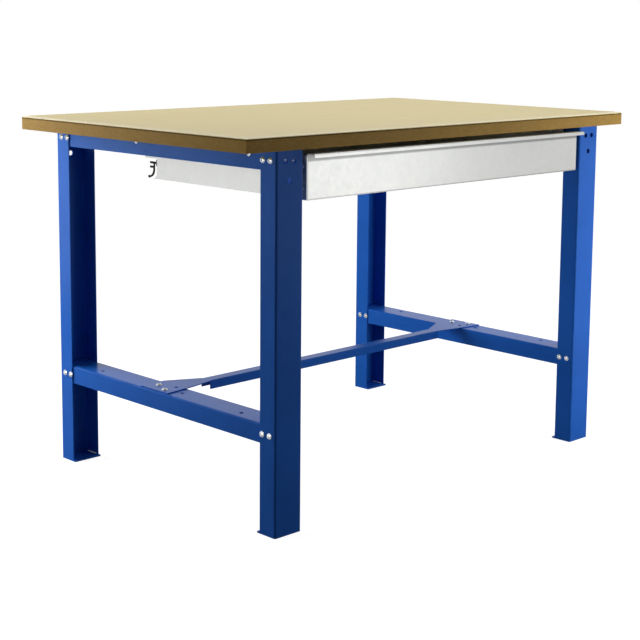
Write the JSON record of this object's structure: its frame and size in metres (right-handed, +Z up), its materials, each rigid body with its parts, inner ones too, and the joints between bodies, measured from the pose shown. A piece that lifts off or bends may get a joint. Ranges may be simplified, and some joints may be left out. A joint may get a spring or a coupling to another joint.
{
  "type": "workbench",
  "caption": "Bolted steel workbench with a thick wooden top, side rails, a stretcher and one wide metal drawer that runs out on rollers under the top.",
  "frame": {"origin": "on the floor, at the middle of the four anchor holes in the feet", "axes": "+X runs along the front edge to the right, +Y from the front to the back, +Z up; the drawer opens towards -Y"},
  "size_m": [1.29, 0.812, 0.85],
  "materials": {
    "board": "pale pressed-wood board with a sealed matt surface",
    "blue_powder_coat": "semi-gloss blue powder coat on folded steel sheet",
    "bright_zinc": "bright zinc plating",
    "galvanised_sheet": "pale galvanised steel sheet",
    "nylon": "moulded natural nylon",
    "black_plastic": "moulded black plastic"
  },
  "bodies": {
    "frame": {"worktop": "board", "leg_front_left": "blue_powder_coat", "leg_front_right": "blue_powder_coat", "leg_back_left": "blue_powder_coat", "leg_back_right": "blue_powder_coat", "foot_front_left": "blue_powder_coat", "foot_front_right": "blue_powder_coat", "foot_back_left": "blue_powder_coat", "foot_back_right": "blue_powder_coat", "top_rail_left": "blue_powder_coat", "top_rail_right": "blue_powder_coat", "lower_rail_left": "blue_powder_coat", "lower_rail_right": "blue_powder_coat", "stretcher": "blue_powder_coat", "frame_bolts": "bright_zinc", "frame_nuts": "bright_zinc", "stretcher_bolts": "bright_zinc", "stretcher_nuts": "bright_zinc", "board_screws": "bright_zinc", "board_washers": "bright_zinc", "runner_fixed_left": "galvanised_sheet", "runner_fixed_right": "galvanised_sheet", "runner_bolts": "bright_zinc", "runner_nuts": "bright_zinc", "front_axles": "bright_zinc"},
    "drawer": {"drawer_tray": "galvanised_sheet", "drawer_front": "galvanised_sheet", "runner_moving_left": "galvanised_sheet", "runner_moving_right": "galvanised_sheet", "rear_axles": "bright_zinc", "drawer_rivets": "bright_zinc", "runner_rivets": "bright_zinc", "stop_hook_left": "black_plastic", "stop_hook_right": "black_plastic"},
    "front_left_wheel": {"front_roller_left": "nylon"},
    "front_right_wheel": {"front_roller_right": "nylon"},
    "rear_left_wheel": {"rear_roller_left": "nylon"},
    "rear_right_wheel": {"rear_roller_right": "nylon"}
  },
  "joints": [
    {"name": "drawer_slide", "type": "slide", "parent": "frame", "child": "drawer", "axis": [0, -1, 0], "range_m": [0, 0.408]},
    {"name": "front_left_spin", "type": "hinge", "parent": "frame", "child": "front_left_wheel", "pos_m": [-0.47675, -0.326, 0.7728], "axis": [1, 0, 0], "continuous": true},
    {"name": "front_right_spin", "type": "hinge", "parent": "frame", "child": "front_right_wheel", "pos_m": [0.47675, -0.326, 0.7728], "axis": [1, 0, 0], "continuous": true},
    {"name": "rear_left_spin", "type": "hinge", "parent": "drawer", "child": "rear_left_wheel", "pos_m": [-0.4728, 0.103, 0.7728], "axis": [1, 0, 0], "continuous": true},
    {"name": "rear_right_spin", "type": "hinge", "parent": "drawer", "child": "rear_right_wheel", "pos_m": [0.4728, 0.103, 0.7728], "axis": [1, 0, 0], "continuous": true}
  ],
  "couplings": [
    {"joint": "front_left_spin", "follows": "drawer_slide", "rad_per_m": 100},
    {"joint": "front_right_spin", "follows": "drawer_slide", "rad_per_m": 100},
    {"joint": "rear_left_spin", "follows": "drawer_slide", "rad_per_m": 100},
    {"joint": "rear_right_spin", "follows": "drawer_slide", "rad_per_m": 100}
  ]
}
